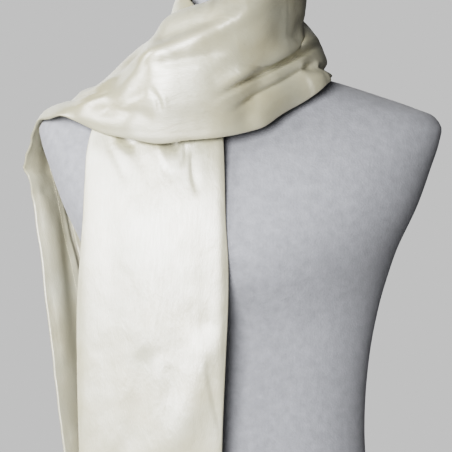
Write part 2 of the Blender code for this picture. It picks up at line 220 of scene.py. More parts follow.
FRONT_CROSS = [
    Section((0.106, 0.004, 0.662), (0.074, 0.000, 0.725), (0.079, 0.000, 0.771),
            0.0068, 0.0020, 0.060, 0.0026),
    Section((0.091, -0.060, 0.645), (0.068, -0.064, 0.691), (0.068, -0.042, 0.772),
            0.0060, 0.0050, 0.060, 0.0026),
    Section((0.069, -0.074, 0.624), (0.048, -0.090, 0.671), (0.050, -0.066, 0.771),
            0.0060, 0.0130, 0.060, 0.0026),
    Section((0.046, -0.090, 0.609), (0.023, -0.110, 0.662), (0.028, -0.083, 0.766),
            0.0060, 0.0180, 0.060, 0.0026),
    Section((0.023, -0.105, 0.593), (0.004, -0.126, 0.662), (0.003, -0.091, 0.757),
            0.0040, 0.0180, 0.060, 0.0026),
    Section((-0.018, -0.118, 0.583), (-0.021, -0.138, 0.668), (-0.024, -0.084, 0.743),
            0.0040, 0.0190, 0.060, 0.0026),
    Section((-0.058, -0.120, 0.579), (-0.061, -0.141, 0.669), (-0.052, -0.070, 0.735),
            0.0060, 0.0200, 0.060, 0.0026),
    Section((-0.097, -0.117, 0.575), (-0.098, -0.135, 0.672), (-0.080, -0.045, 0.727),
            0.0090, 0.0100, 0.060, 0.0026),
    Section((-0.126, -0.111, 0.581), (-0.120, -0.121, 0.654), (-0.088, -0.015, 0.719),
            0.0070, 0.0070, 0.060, 0.0026),
    Section((-0.160, -0.092, 0.589), (-0.141, -0.101, 0.638), (-0.095, 0.010, 0.712),
            0.0055, 0.0080, 0.060, 0.0026),
    Section((-0.190, -0.072, 0.603), (-0.167, -0.079, 0.633), (-0.103, 0.030, 0.706),
            0.0060, 0.0085, 0.056, 0.0026),
    Section((-0.209, -0.058, 0.611), (-0.187, -0.040, 0.628), (-0.106, 0.048, 0.695),
            0.0040, 0.0090, 0.052, 0.0024),
]
SHOULDER_FALL = [
    Section((-0.226, -0.038, 0.608), (-0.201, -0.003, 0.6285), (-0.107, 0.064, 0.680),
            0.0055, 0.0090, 0.048, 0.0022),
    Section((-0.239, -0.014, 0.607), (-0.213, 0.028, 0.6230), (-0.107, 0.083, 0.659),
            0.0065, 0.0110, 0.046, 0.0021),
    Section((-0.247, 0.008, 0.596), (-0.220, 0.050, 0.606), (-0.106, 0.098, 0.632),
            0.0060, 0.0110, 0.045, 0.0020),
    Section((-0.256, 0.035, 0.574), (-0.219, 0.070, 0.582), (-0.107, 0.110, 0.599),
            0.0060, 0.0110, 0.045, 0.0020),
    Section((-0.262, 0.050, 0.554), (-0.214, 0.086, 0.555), (-0.107, 0.116, 0.564),
            0.0050, 0.0100, 0.045, 0.0020),
    Section((-0.258, 0.056, 0.537), (-0.208, 0.095, 0.532), (-0.103, 0.118, 0.535),
            0.0045, 0.0080, 0.045, 0.0020),
    Section((-0.252, 0.060, 0.508), (-0.199, 0.101, 0.502), (-0.098, 0.119, 0.500),
            0.0045, 0.0060, 0.046, 0.0020),
    Section((-0.248, 0.061, 0.476), (-0.194, 0.104, 0.472), (-0.094, 0.119, 0.468),
            0.0045, 0.0050, 0.048, 0.0020),
    Section((-0.243, 0.061, 0.445), (-0.189, 0.105, 0.441), (-0.090, 0.119, 0.438),
            0.0045, 0.0050, 0.052, 0.0020),
    Section((-0.238, 0.061, 0.395), (-0.185, 0.106, 0.393), (-0.084, 0.118, 0.392),
            0.0045, 0.0050, 0.058, 0.0020),
    Section((-0.231, 0.061, 0.340), (-0.178, 0.106, 0.340), (-0.077, 0.118, 0.340),
            0.0045, 0.0050, 0.062, 0.0020),
    Section((-0.220, 0.060, 0.250), (-0.167, 0.106, 0.250), (-0.066, 0.118, 0.250),
            0.0045, 0.0050, 0.066, 0.0020),
    Section((-0.206, 0.060, 0.140), (-0.153, 0.106, 0.140), (-0.053, 0.118, 0.140),
            0.0045, 0.0050, 0.070, 0.0020),
    Section((-0.197, 0.060, 0.038), (-0.144, 0.106, 0.038), (-0.044, 0.118, 0.038),
            0.0045, 0.0050, 0.072, 0.0020),
]

# The stretches of the stole, in order, with the length of a row of faces and
# the height of the fine unevenness of the cloth there.
Stretch = namedtuple("Stretch", "name sections row uneven")
STRETCHES = [
    Stretch("front_fall", FRONT_FALL, 0.0058, 0.0003),
    Stretch("neck_rise", NECK_RISE, 0.0045, 0.0003),
    Stretch("nape_wrap", NAPE, 0.0060, 0.0004),
    Stretch("front_cross", FRONT_CROSS, 0.0025, 0.0003),
    Stretch("shoulder_fall", SHOULDER_FALL, 0.0075, 0.0007),
]

# Folds seen from the front or the back. Each runs through three points, given
# as x and z, on the named stretches. height is outwards, and kind is the cross
# profile: soft, sharp at its line, a pleat that is steep on the right of the
# way that the line runs, or a step with its raised side on the left of it.
Crease = namedtuple("Crease", "on side start bend end width height kind")
CREASES = [
    # the deep main crease of the crossing: the upper roll hangs over a ridge
    Crease("cross", "front", (-0.026, 0.627), (0.042, 0.667), (0.102, 0.703), 0.0046, 0.0078, "step"),
    Crease("cross", "front", (0.102, 0.700), (0.040, 0.663), (-0.034, 0.620), 0.0036, -0.0062, "soft"),
    Crease("cross", "front", (0.096, 0.689), (0.036, 0.654), (-0.036, 0.615), 0.0036, 0.0036, "soft"),
    # the second groove, below that ridge
    Crease("cross", "front", (-0.008, 0.614), (0.044, 0.645), (0.096, 0.680), 0.0042, 0.0040, "step"),
    Crease("cross", "front", (0.098, 0.679), (0.042, 0.642), (-0.020, 0.604), 0.0038, -0.0044, "soft"),
    # the wide rise of the flap over the other shoulder, and the hollow beside it
    Crease("cross", "front", (0.086, 0.676), (0.090, 0.648), (0.097, 0.606), 0.0200, 0.0082, "soft"),
    Crease("cross", "front", (0.034, 0.660), (0.014, 0.622), (0.002, 0.580), 0.0130, -0.0046, "soft"),
    # a thin crease that runs on from the second groove
    Crease("cross", "front", (0.030, 0.629), (0.012, 0.619), (-0.010, 0.607), 0.0030, -0.0012, "soft"),
    # the hollow at the side of the neck, and the upright folds of the collar
    Crease("cross", "front", (0.077, 0.730), (0.067, 0.706), (0.062, 0.690), 0.0060, -0.0022, "soft"),
    Crease("cross", "front", (0.053, 0.775), (0.056, 0.722), (0.052, 0.684), 0.0050, -0.0006, "pleat"),
    Crease("cross", "front", (0.034, 0.676), (0.038, 0.730), (0.044, 0.800), 0.0130, 0.0036, "step"),
    # the wide hollow, the long ridge below it, and the grooves under the ridge
    Crease("cross", "front", (-0.108, 0.692), (-0.066, 0.706), (-0.016, 0.722), 0.0120, -0.0066, "soft"),
    Crease("cross", "front", (-0.140, 0.660), (-0.046, 0.692), (0.044, 0.742), 0.0105, 0.0062, "soft"),
    Crease("cross", "front", (-0.104, 0.664), (-0.062, 0.667), (-0.008, 0.678), 0.0064, -0.0028, "soft"),
    Crease("cross", "front", (-0.150, 0.648), (-0.116, 0.658), (-0.090, 0.668), 0.0060, -0.0018, "soft"),
    # press lines of the upper edge
    Crease("cross", "front", (-0.056, 0.732), (-0.063, 0.710), (-0.082, 0.682), 0.0016, -0.0009, "sharp"),
    Crease("cross", "front", (-0.030, 0.750), (-0.036, 0.730), (-0.050, 0.712), 0.0050, 0.0012, "soft"),
    # creases towards the shoulder
    Crease("cross", "front", (-0.166, 0.614), (-0.132, 0.621), (-0.098, 0.635), 0.0070, -0.0012, "pleat"),
    Crease("cross", "front", (-0.108, 0.634), (-0.094, 0.623), (-0.094, 0.604), 0.0046, -0.0015, "pleat"),
    Crease("cross", "front", (-0.101, 0.633), (-0.088, 0.624), (-0.086, 0.608), 0.0034, 0.0009, "soft"),
    # where the belly of the roll turns under
    Crease("cross", "front", (-0.140, 0.600), (-0.060, 0.600), (0.020, 0.606), 0.0130, -0.0020, "soft"),
    # the thin pressed line just above its low edge
    Crease("cross", "front", (-0.172, 0.593), (-0.078, 0.580), (0.020, 0.596), 0.0020, 0.0010, "soft"),
    # the roll stands up below its upper edge, and is flatter along that edge
    Crease("cross", "front", (-0.200, 0.626), (-0.150, 0.652), (-0.090, 0.674), 0.0150, 0.0034, "soft"),
    Crease("cross", "any", (-0.190, 0.636), (-0.146, 0.664), (-0.100, 0.692), 0.0090, -0.0085, "soft"),
    # long grooves and ridges of the roll where it narrows to the shoulder
    Crease("cross", "front", (-0.174, 0.614), (-0.136, 0.610), (-0.094, 0.604), 0.0070, -0.0030, "soft"),
    Crease("cross", "front", (-0.196, 0.613), (-0.160, 0.600), (-0.112, 0.588), 0.0070, 0.0014, "soft"),
    Crease("cross", "front", (-0.200, 0.620), (-0.172, 0.627), (-0.140, 0.637), 0.0050, -0.0014, "pleat"),
    Crease("cross", "front", (-0.194, 0.628), (-0.166, 0.639), (-0.130, 0.655), 0.0050, 0.0012, "pleat"),
    # small folds of the flap near its tip, and the dip above the tip
    Crease("cross", "front", (0.088, 0.676), (0.093, 0.661), (0.097, 0.644), 0.0030, 0.0018, "pleat"),
    Crease("cross", "front", (0.094, 0.672), (0.099, 0.660), (0.103, 0.647), 0.0030, -0.0026, "soft"),
    Crease("tip", "any", (0.070, 0.661), (0.098, 0.666), (0.130, 0.668), 0.0062, -0.0105, "soft"),
    # pockets and gathers of the front fall under the crossing
    Crease("fall", "front", (-0.142, 0.590), (-0.130, 0.577), (-0.117, 0.573), 0.0055, -0.0044, "soft"),
    Crease("fall", "front", (-0.098, 0.590), (-0.082, 0.575), (-0.066, 0.572), 0.0055, -0.0044, "soft"),
    Crease("fall", "front", (-0.156, 0.580), (-0.142, 0.556), (-0.128, 0.524), 0.0060, -0.0012, "pleat"),
    Crease("fall", "front", (-0.128, 0.588), (-0.118, 0.566), (-0.108, 0.540), 0.0070, -0.0008, "soft"),
    Crease("fall", "front", (-0.098, 0.588), (-0.092, 0.566), (-0.082, 0.545), 0.0045, 0.0009, "pleat"),
    Crease("fall", "front", (-0.094, 0.551), (-0.084, 0.541), (-0.072, 0.533), 0.0035, -0.0006, "pleat"),
    Crease("fall", "front", (-0.073, 0.582), (-0.063, 0.565), (-0.072, 0.552), 0.0040, -0.0014, "pleat"),
    Crease("fall", "front", (-0.068, 0.560), (-0.054, 0.568), (-0.038, 0.573), 0.0040, -0.0008, "pleat"),
    Crease("fall", "front", (-0.052, 0.580), (-0.056, 0.545), (-0.047, 0.512), 0.0060, -0.0014, "pleat"),
    # both sides of the front fall turn away softly
    Crease("fall", "front", (-0.170, 0.800), (-0.194, 0.350), (-0.186, -0.250), 0.0100, -0.0066, "soft"),
    Crease("fall", "front", (-0.024, 0.800), (-0.011, 0.380), (-0.024, -0.250), 0.0080, -0.0050, "soft"),
    # long shallow folds down the front fall, and its pressed cross lines
    Crease("fall", "front", (-0.052, 0.500), (-0.040, 0.420), (-0.042, 0.330), 0.0100, -0.0008, "soft"),
    Crease("fall", "front", (-0.040, 0.334), (-0.032, 0.290), (-0.020, 0.236), 0.0070, -0.0014, "pleat"),
    Crease("fall", "front", (-0.034, 0.372), (-0.052, 0.300), (-0.088, 0.200), 0.0200, 0.0030, "soft"),
    Crease("fall", "front", (-0.152, 0.540), (-0.146, 0.400), (-0.152, 0.230), 0.0130, -0.0008, "soft"),
    Crease("fall", "front", (-0.118, 0.540), (-0.104, 0.400), (-0.110, 0.250), 0.0200, 0.0010, "soft"),
    Crease("fall", "front", (-0.104, 0.350), (-0.116, 0.285), (-0.132, 0.190), 0.0130, -0.0016, "soft"),
    Crease("fall", "front", (-0.090, 0.340), (-0.094, 0.280), (-0.098, 0.180), 0.0100, 0.0009, "soft"),
    Crease("fall", "front", (-0.146, 0.240), (-0.138, 0.140), (-0.142, 0.030), 0.0100, -0.0018, "soft"),
    Crease("fall", "front", (-0.054, 0.200), (-0.048, 0.120), (-0.054, 0.030), 0.0090, -0.0016, "soft"),
    Crease("fall", "front", (-0.054, 0.3485), (-0.040, 0.348), (-0.026, 0.3485), 0.0016, -0.0006, "sharp"),
    Crease("fall", "front", (-0.174, 0.340), (-0.158, 0.339), (-0.142, 0.340), 0.0016, -0.0005, "sharp"),
    # kinks, cross creases and long folds of the shoulder end, beside the form
    Crease("shoulder", "any", (-0.262, 0.588), (-0.246, 0.591), (-0.226, 0.597), 0.0032, 0.0012, "soft"),
    Crease("shoulder", "any", (-0.268, 0.579), (-0.250, 0.581), (-0.228, 0.586), 0.0034, -0.0010, "soft"),
    Crease("shoulder", "any", (-0.270, 0.567), (-0.250, 0.569), (-0.226, 0.575), 0.0032, 0.0012, "soft"),
    Crease("shoulder", "any", (-0.276, 0.554), (-0.254, 0.550), (-0.230, 0.551), 0.0036, 0.0030, "soft"),
    Crease("shoulder", "any", (-0.266, 0.549), (-0.256, 0.530), (-0.244, 0.514), 0.0040, -0.0026, "soft"),
    Crease("shoulder", "any", (-0.262, 0.522), (-0.252, 0.521), (-0.236, 0.528), 0.0030, 0.0022, "soft"),
    Crease("shoulder", "any", (-0.250, 0.298), (-0.232, 0.297), (-0.212, 0.298), 0.0020, 0.0010, "sharp"),
    Crease("shoulder", "any", (-0.236, 0.500), (-0.226, 0.440), (-0.222, 0.360), 0.0070, -0.0024, "soft"),
    Crease("shoulder", "any", (-0.226, 0.330), (-0.212, 0.250), (-0.204, 0.160), 0.0070, 0.0020, "soft"),
    # folds down the back
    Crease("shoulder", "back", (-0.196, 0.600), (-0.176, 0.400), (-0.150, 0.040), 0.0110, -0.0060, "soft"),
    Crease("shoulder", "back", (-0.150, 0.640), (-0.126, 0.380), (-0.086, 0.040), 0.0100, -0.0036, "soft"),
    Crease("shoulder", "back", (-0.226, 0.560), (-0.206, 0.340), (-0.172, 0.040), 0.0080, 0.0030, "soft"),
    Crease("shoulder", "back", (-0.172, 0.610), (-0.152, 0.440), (-0.136, 0.260), 0.0080, 0.0030, "soft"),
    Crease("shoulder", "back", (-0.122, 0.650), (-0.112, 0.540), (-0.100, 0.430), 0.0060, 0.0024, "soft"),
    Crease("shoulder", "back", (-0.134, 0.300), (-0.110, 0.200), (-0.104, 0.080), 0.0080, 0.0026, "soft"),
    Crease("shoulder", "back", (-0.216, 0.590), (-0.190, 0.600), (-0.160, 0.628), 0.0050, -0.0030, "soft"),
    Crease("shoulder", "back", (-0.212, 0.566), (-0.180, 0.572), (-0.146, 0.594), 0.0050, 0.0026, "soft"),
    # grooves and ridges round the nape
    Crease("nape", "back", (-0.072, 0.690), (0.000, 0.694), (0.074, 0.688), 0.0060, -0.0046, "soft"),
    Crease("nape", "back", (-0.060, 0.742), (0.010, 0.736), (0.082, 0.728), 0.0055, -0.0040, "soft"),
    Crease("nape", "back", (-0.080, 0.716), (-0.030, 0.722), (0.020, 0.714), 0.0050, 0.0022, "soft"),
    Crease("nape", "back", (-0.010, 0.676), (0.030, 0.674), (0.070, 0.668), 0.0040, 0.0020, "soft"),
]
# The stretches that each group of creases lies on
CREASED = {
    "fall": ("front_fall",),
    "cross": ("front_cross", "shoulder_fall"),
    "shoulder": ("front_cross", "shoulder_fall"),
    "tip": ("nape_wrap", "front_cross"),
    "nape": ("neck_rise", "nape_wrap", "front_cross"),
}

# The floor is a thin disc, just under the part.
FLOOR_TOP = -0.0004
FLOOR_UNDERSIDE = -0.004
FLOOR_POINTS = 96
FLOOR_COLOUR = (0.5, 0.5, 0.5)
FLOOR_ROUGHNESS = 0.7

# Round area lights, aimed at a target, each with the setting of its power
Light = namedtuple("Light", "name power place target size colour")
LIGHTS = [
    Light("key_light", "key", (-0.88, -2.70, 0.88), (0, 0, 0.50), 1.7, (1.0, 0.995, 0.99)),
    Light("side_light", "side", (-2.35, -1.10, 1.35), (0, 0, 0.55), 1.5, (1.0, 1.0, 1.0)),
    Light("back_light", "back", (-0.90, 2.80, 1.50), (0, 0, 0.45), 3.0, (0.98, 0.99, 1.0)),
]
GLOW_COLOUR = (0.97, 0.98, 1.0, 1)

# The camera is level, 2.2 m in front of the shoulders, where its picture is
# 0.538 m wide. The lens and the sensor are in millimetres.
CAMERA_PLACE = (-0.0171, -2.2, 0.481)
LENS = 147.2
SENSOR = 36.0


class ClothSettings(bpy.types.PropertyGroup):
    """Sizes and finish of the satin."""

    wall: bpy.props.FloatProperty(
        name="Wall", description="Thickness of the double satin",
        default=0.0011, min=0.0004, max=0.0016, unit="LENGTH")
    hem_wall: bpy.props.FloatProperty(
        name="Hem wall", description="Thickness of the turned and sewn hems",
        default=0.0015, min=0.0004, max=0.0018, unit="LENGTH")
    hem_width: bpy.props.FloatProperty(
        name="Hem width", description="Width of the sewn hems",
        default=0.009, min=0.004, max=0.02, unit="LENGTH")
    stitch: bpy.props.FloatProperty(
        name="Stitch", description="Length of one stitch with its gap",
        default=0.0032, min=0.002, max=0.008, unit="LENGTH")
    light_colour: bpy.props.FloatVectorProperty(
        name="Light ivory", description="Colour of the satin where it is palest",
        default=(0.545, 0.527, 0.43), size=3, min=0, max=1, subtype="COLOR")
    deep_colour: bpy.props.FloatVectorProperty(
        name="Deep ivory", description="Colour of the satin where it is yellowest",
        default=(0.505, 0.465, 0.345), size=3, min=0, max=1, subtype="COLOR")
    gloss: bpy.props.FloatProperty(
        name="Roughness", description="Lower is glossier",
        default=0.42, min=0.05, max=1, subtype="FACTOR")


class FormSettings(bpy.types.PropertyGroup):
    """Fineness and finish of the jersey form."""

    points: bpy.props.IntProperty(
        name="Points round", description="Points in one ring of the jersey skin",
        default=128, min=44, max=200)
    colour: bpy.props.FloatVectorProperty(
        name="Jersey", description="Colour of the jersey",
        default=(0.362, 0.370, 0.396), size=3, min=0, max=1, subtype="COLOR")
    knit: bpy.props.FloatProperty(
        name="Knit", description="Distance between the ribs of the knit",
        default=0.0016, min=0.0005, max=0.01, unit="LENGTH")


class StudioSettings(bpy.types.PropertyGroup):
    """Floor, lights and background."""

    radius: bpy.props.FloatProperty(
        name="Floor radius", description="Radius of the round floor",
        default=0.9, min=0.5, max=1.6, unit="LENGTH")
    grey: bpy.props.FloatProperty(
        name="Background", description="Grey of the background",
        default=0.452, min=0, max=1, subtype="FACTOR")
    glow: bpy.props.FloatProperty(
        name="Room light", description="Even light from all round",
        default=0.09, min=0, max=2, subtype="FACTOR")
    key: bpy.props.FloatProperty(
        name="Key light", description="Power of the large light at the left",
        default=84.0, min=0, max=400, unit="POWER")
    side: bpy.props.FloatProperty(
        name="Side light", description="Power of the light far to the left",
        default=34.0, min=0, max=400, unit="POWER")
    back: bpy.props.FloatProperty(
        name="Back light", description="Power of the wide soft light behind the form",
        default=27.0, min=0, max=400, unit="POWER")


def smooth_rows(rows, along, places):
    """Rows of numbers read at places by a smooth curve through all of them."""
    step = np.diff(along)
    slope = np.diff(rows, axis=0) / step[:, None]
    turn = np.empty_like(rows)
    turn[0], turn[-1] = slope[0], slope[-1]
    before, after = step[:-1, None], step[1:, None]
    turn[1:-1] = (slope[:-1] * after + slope[1:] * before) / (before + after)
    at = np.clip(np.searchsorted(along, places, side="right") - 1, 0, len(step) - 1)
    h = step[at][:, None]
    t = ((places - along[at]) / step[at])[:, None]
    return (
        rows[at] * (1 + 2 * t) * (1 - t) ** 2
        + turn[at] * h * t * (1 - t) ** 2
        + rows[at + 1] * t ** 2 * (3 - 2 * t)
        + turn[at + 1] * h * t ** 2 * (t - 1)
    )


def unit(vectors):
    """The same directions with a length of 1."""
    return vectors / np.linalg.norm(vectors, axis=-1, keepdims=True)


def run_of(points):
    """Distance of each point of a line from its first point."""
    return np.concatenate([[0], np.cumsum(np.linalg.norm(np.diff(points, axis=0), axis=1))])


def middle(numbers):
    """The point that the length of the stole is measured through."""
    return (numbers[..., LOW] + numbers[..., CREASE] + numbers[..., TOP]) / 3


def bowed_line(start, end, swell, tangent, points):
    """Points from start to end that bow out by swell half way."""
    t = np.linspace(0, 1, points + 1)[:, None]
    out = unit(np.cross(end - start, tangent))
    return start + (end - start) * t + out * 4 * swell * t * (1 - t)


def smooth_step(value):
    """Rises smoothly from 0 to 1 while the value does."""
    value = np.clip(value, 0, 1)
    return value * value * (3 - 2 * value)


def crease_height(crease, points):
    """How far one crease pushes the points outwards. near is the distance of
    each point from its curve, share the place along it, and hand the side."""
    start, bend, end = (np.array(p) for p in (crease.start, crease.bend, crease.end))
    t = np.linspace(0, 1, CREASE_POINTS)[:, None]
    line = start * (1 - t) * (1 - 2 * t) + bend * 4 * t * (1 - t) + end * t * (2 * t - 1)
    flat = points[..., (0, 2)]
    near = np.full(flat.shape[:-1], np.inf)
    share = np.zeros_like(near)
    hand = np.zeros_like(near)
    for k, (a, b) in enumerate(zip(line, line[1:])):
        way = b - a
        part = np.clip((flat - a) @ way / (way @ way), 0, 1)
        off = flat - a - part[..., None] * way
        away = np.linalg.norm(off, axis=-1)
        closer = away < near
        near = np.where(closer, away, near)
        share = np.where(closer, (k + part) / (len(line) - 1), share)
        hand = np.where(closer, np.sign(way[0] * off[..., 1] - way[1] * off[..., 0]), hand)
    if crease.kind == "soft":
        profile = np.exp(-(near / crease.width) ** 2)
    elif crease.kind == "sharp":
        profile = np.exp(-near / crease.width)
    elif crease.kind == "pleat":
        profile = np.exp(-(near / crease.width / np.where(hand < 0, STEEP, 1)) ** 2)
    else:
        reach = np.exp(-(near / (STEP_REACH * crease.width)) ** 2)
        profile = np.tanh(hand * near / crease.width) * reach
    ends = smooth_step(share / CREASE_ENDS) * smooth_step((1 - share) / CREASE_ENDS)
    if crease.side == "front":
        ends = ends * (points[..., 1] < FRONT_LIMIT)
    elif crease.side == "back":
        ends = ends * smooth_step((points[..., 1] - BACK_START) / BACK_GROWTH)
    return crease.height * profile * ends


def soft_noise(along, across, seed):
    """Soft seeded noise at one place of the cloth, between about -1 and 1."""
    return noise.fractal(Vector((along, across, seed)), NOISE_FALL, NOISE_STEP, NOISE_LEVELS)


def uneven(along, across, wave):
    """One wave of the fine unevenness, over the whole cloth."""
    values = [soft_noise(u / wave.length, v / wave.length * CROSS_DENSITY, wave.seed)
              for u, v in zip(along.ravel(), across.ravel())]
    return np.array(values).reshape(along.shape)


def sheet_rows(hem_width):
    """The rows of the sheet: their places along the stole, the number of the
    stretch that each lies on, its section's numbers, and the way the stole runs."""
    sections = [s for stretch in STRETCHES for s in stretch.sections]
    numbers = np.array([[*s.low, *s.crease, *s.top, *s[3:]] for s in sections])
    along = run_of(middle(numbers))
    places, ends = [], []
    first = 0
    for stretch in STRETCHES:
        last = min(first + len(stretch.sections), len(sections) - 1)
        parts = round((along[last] - along[first]) / stretch.row)
        places += list(np.linspace(along[first], along[last], parts, endpoint=False))
        ends.append(along[last])
        first = last
    places.append(along[-1])
    hem_rows = [HEM_EDGE, hem_width, hem_width + HEM_STEP]
    places = np.array(sorted(places + hem_rows + [along[-1] - h for h in hem_rows]))
    owner = np.searchsorted(ends[:-1], places, side="right")
    nudge = 1e-4
    ahead = middle(smooth_rows(numbers, along, np.minimum(places + nudge, along[-1])))
    behind = middle(smooth_rows(numbers, along, np.maximum(places - nudge, 0)))
    return places, owner, smooth_rows(numbers, along, places), unit(ahead - behind)


def stretch_weights(owner):
    """How much each row belongs to each stretch, blended from one to the next."""
    kernel = np.ones(BLEND_ROWS) / BLEND_ROWS
    weights = []
    for k in range(len(STRETCHES)):
        belongs = np.pad((owner == k).astype(float), BLEND_ROWS // 2, mode="edge")
        weights.append(np.convolve(belongs, kernel, "valid"))
    return np.stack(weights, 1)


def creased_height(places, owner, face, distance, strength):
    """How far all creases and the fine unevenness push the face outwards."""
    height = np.zeros(face.shape[:2])
    names = [s.name for s in STRETCHES]
    for crease in CREASES:
        wanted = np.isin(owner, [names.index(n) for n in CREASED[crease.on]])
        height[wanted] += crease_height(crease, face[wanted])
    run = np.broadcast_to(places[:, None], distance.shape)
    return height + strength * sum(wave.share * uneven(run, distance, wave) for wave in WAVES)


def turned_in(edge, width, steps, place, seed, strength, bulge):
    """Points and normals of the cloth turned in behind an edge, and of the
    round of that edge. The edge is given by the face that starts there, with
    its points, normals and pushes, and by its radius."""
    line, norm, push, roll = edge
    run = run_of(line)
    back = np.linspace(width - steps[-1], 0, RETURN_POINTS - 2)[1:]
    back = np.concatenate([width - steps, back])
    behind = line - norm * 2 * roll
    inner = np.stack([np.interp(back, run, behind[:, i]) for i in range(3)], 1)
    inner_norm = np.stack([np.interp(back, run, norm[:, i]) for i in range(3)], 1)
    crumple = [soft_noise(place / CRUMPLE_ALONG, b / CRUMPLE_ACROSS, seed) for b in back]
    crumple = strength * CRUMPLE * smooth_step(back / CRUMPLE_START) * np.array(crumple)
    stand = (1 - np.exp(-back / BULGE_RISE)) * (1 - BULGE_FALL * smooth_step(back / width))
    inner_push = np.interp(back, run, push) + crumple - bulge * stand
    beyond = unit(line[0] - line[1])
    angle = math.pi * (1 - np.arange(1, EDGE_POINTS + 1) / (EDGE_POINTS + 1))[:, None]
    arc = line[0] + roll * (norm[0] * (np.cos(angle) - 1) + beyond * np.sin(angle))
    return (
        np.concatenate([inner + inner_norm * inner_push[:, None], arc + norm[0] * push[0]]),
        np.concatenate([inner_norm, np.repeat(norm[:1], EDGE_POINTS, 0)]),
    )


Sheet = namedtuple("Sheet", "points normals along across hem")


def stole_sheet(hem_width):
    """The whole stole as rows of points: its place, its outward normals, the
    distances along and across the cloth, and where it is hemmed."""
    places, owner, rows, tangent = sheet_rows(hem_width)
    faces, normals, distances = [], [], []
    for row, way in zip(rows, tangent):
        below = bowed_line(row[LOW], row[CREASE], row[SWELL_LOW], way, LOW_POINTS)
        above = bowed_line(row[CREASE], row[TOP], row[SWELL_TOP], way, TOP_POINTS)
        face = np.concatenate([below, above[1:]])
        faces.append(face)
        normals.append(unit(np.cross(np.gradient(face, axis=0), way)))
        distances.append(run_of(face))
    face, normal, distance = np.array(faces), np.array(normals), np.array(distances)
    weights = stretch_weights(owner)
    strength = (weights @ [s.uneven for s in STRETCHES])[:, None]
    height = creased_height(places, owner, face, distance, strength)

    points, outward, across, hem = [], [], [], []
    steps = np.array([0, HEM_EDGE, hem_width, hem_width + HEM_STEP])
    for k, place in enumerate(places):
        turn, roll = rows[k, TURN], rows[k, ROLL] * PRESSED
        length = distance[k, -1]
        rest = DOUBLE_WIDTH - length - turn - 2 * math.pi * roll
        rest = min(rest, length - turn - SLIT)
        change = BULGE_CHANGE * noise.noise(Vector((place / BULGE_WAVE, 0.5, BULGE_SEED)))
        bulge = BULGE * weights[k, -1] * (1 + change)
        edge = face[k], normal[k], height[k], roll
        low, low_normal = turned_in(edge, turn, steps, place, LOW_SEED, strength[k, 0], bulge)
        edge = face[k, ::-1], normal[k, ::-1], height[k, ::-1], roll
        high, high_normal = turned_in(edge, rest, steps, place, TOP_SEED, strength[k, 0], 0)
        ring = np.concatenate([low, face[k] + normal[k] * height[k][:, None], high[::-1]])
        points.append(ring)
        outward.append(np.concatenate([low_normal, normal[k], high_normal[::-1]]))
        across.append(run_of(ring))
        end_hem = min(place, places[-1] - place) <= hem_width + TINY
        band = np.zeros(len(ring))
        band[:HEM_POINTS] = 1
        hem.append(np.ones(len(ring)) if end_hem else band)
    return Sheet(np.array(points), np.array(outward), places, np.array(across), np.array(hem))


def grid_mesh(name, rings, closed, ends):
    """A mesh of quads between rings that have the same number of points. closed
    joins each ring's last point to its first, and ends caps the outer rings."""
    count = len(rings[0])
    points = np.concatenate(rings)
    quads = []
    for row in range(len(rings) - 1):
        for i in range(count if closed else count - 1):
            j = (i + 1) % count
            low, high = row * count, (row + 1) * count
            quads.append((low + i, low + j, high + j, high + i))
    if ends:
        quads.append(tuple(range(count - 1, -1, -1)))
        quads.append(tuple(range(len(points) - count, len(points))))
    mesh = bpy.data.meshes.new(name)
    mesh.from_pydata([tuple(p) for p in points], [], quads)
    mesh.update()
    return mesh


def add_piece(name, mesh, finish):
    """An object of one mesh and one finish, shaded smooth."""
    mesh.materials.clear()
    mesh.materials.append(finish)
    mesh.shade_smooth()
    made = bpy.data.objects.new(name, mesh)
    bpy.context.scene.collection.objects.link(made)
    return made


def new_material(name):
    """A material, the function that links its sockets, its shader and a function
    that adds nodes to it."""
    made = bpy.data.materials.new(name)
    made.use_nodes = True
    tree = made.node_tree
    shader = tree.nodes["Principled BSDF"]

    def add(kind, **values):
        node = tree.nodes.new(kind)
        for key, value in values.items():
            if key in node.inputs:
                node.inputs[key].default_value = value
            else:
                setattr(node, key, value)
        return node

    return made, tree.links.new, shader, add


def mottle(parts, place, colours, stops=(0, 1), **values):
    """Mottles a material's base colour between two colours, by a noise."""
    _, link, shader, add = parts
    tones = add("ShaderNodeTexNoise", **values)
    link(place, tones.inputs["Vector"])
    ramp = add("ShaderNodeValToRGB")
    for element, stop, colour in zip(ramp.color_ramp.elements, stops, colours):
        element.position = stop
        element.color = (*colour, 1)
    link(tones.outputs["Fac"], ramp.inputs["Fac"])
    link(ramp.outputs["Color"], shader.inputs["Base Color"])


def relief(parts, kind, place, below, strength, distance, **values):
    """A bump by a texture, laid over the bump below it if there is one."""
    _, link, _, add = parts
    texture = add(kind, **values)
    link(place, texture.inputs["Vector"])
    bump = add("ShaderNodeBump", Strength=strength, Distance=distance)
    link(texture.outputs["Fac"], bump.inputs["Height"])
    if below:
        link(below, bump.inputs["Normal"])
    return bump.outputs["Normal"]


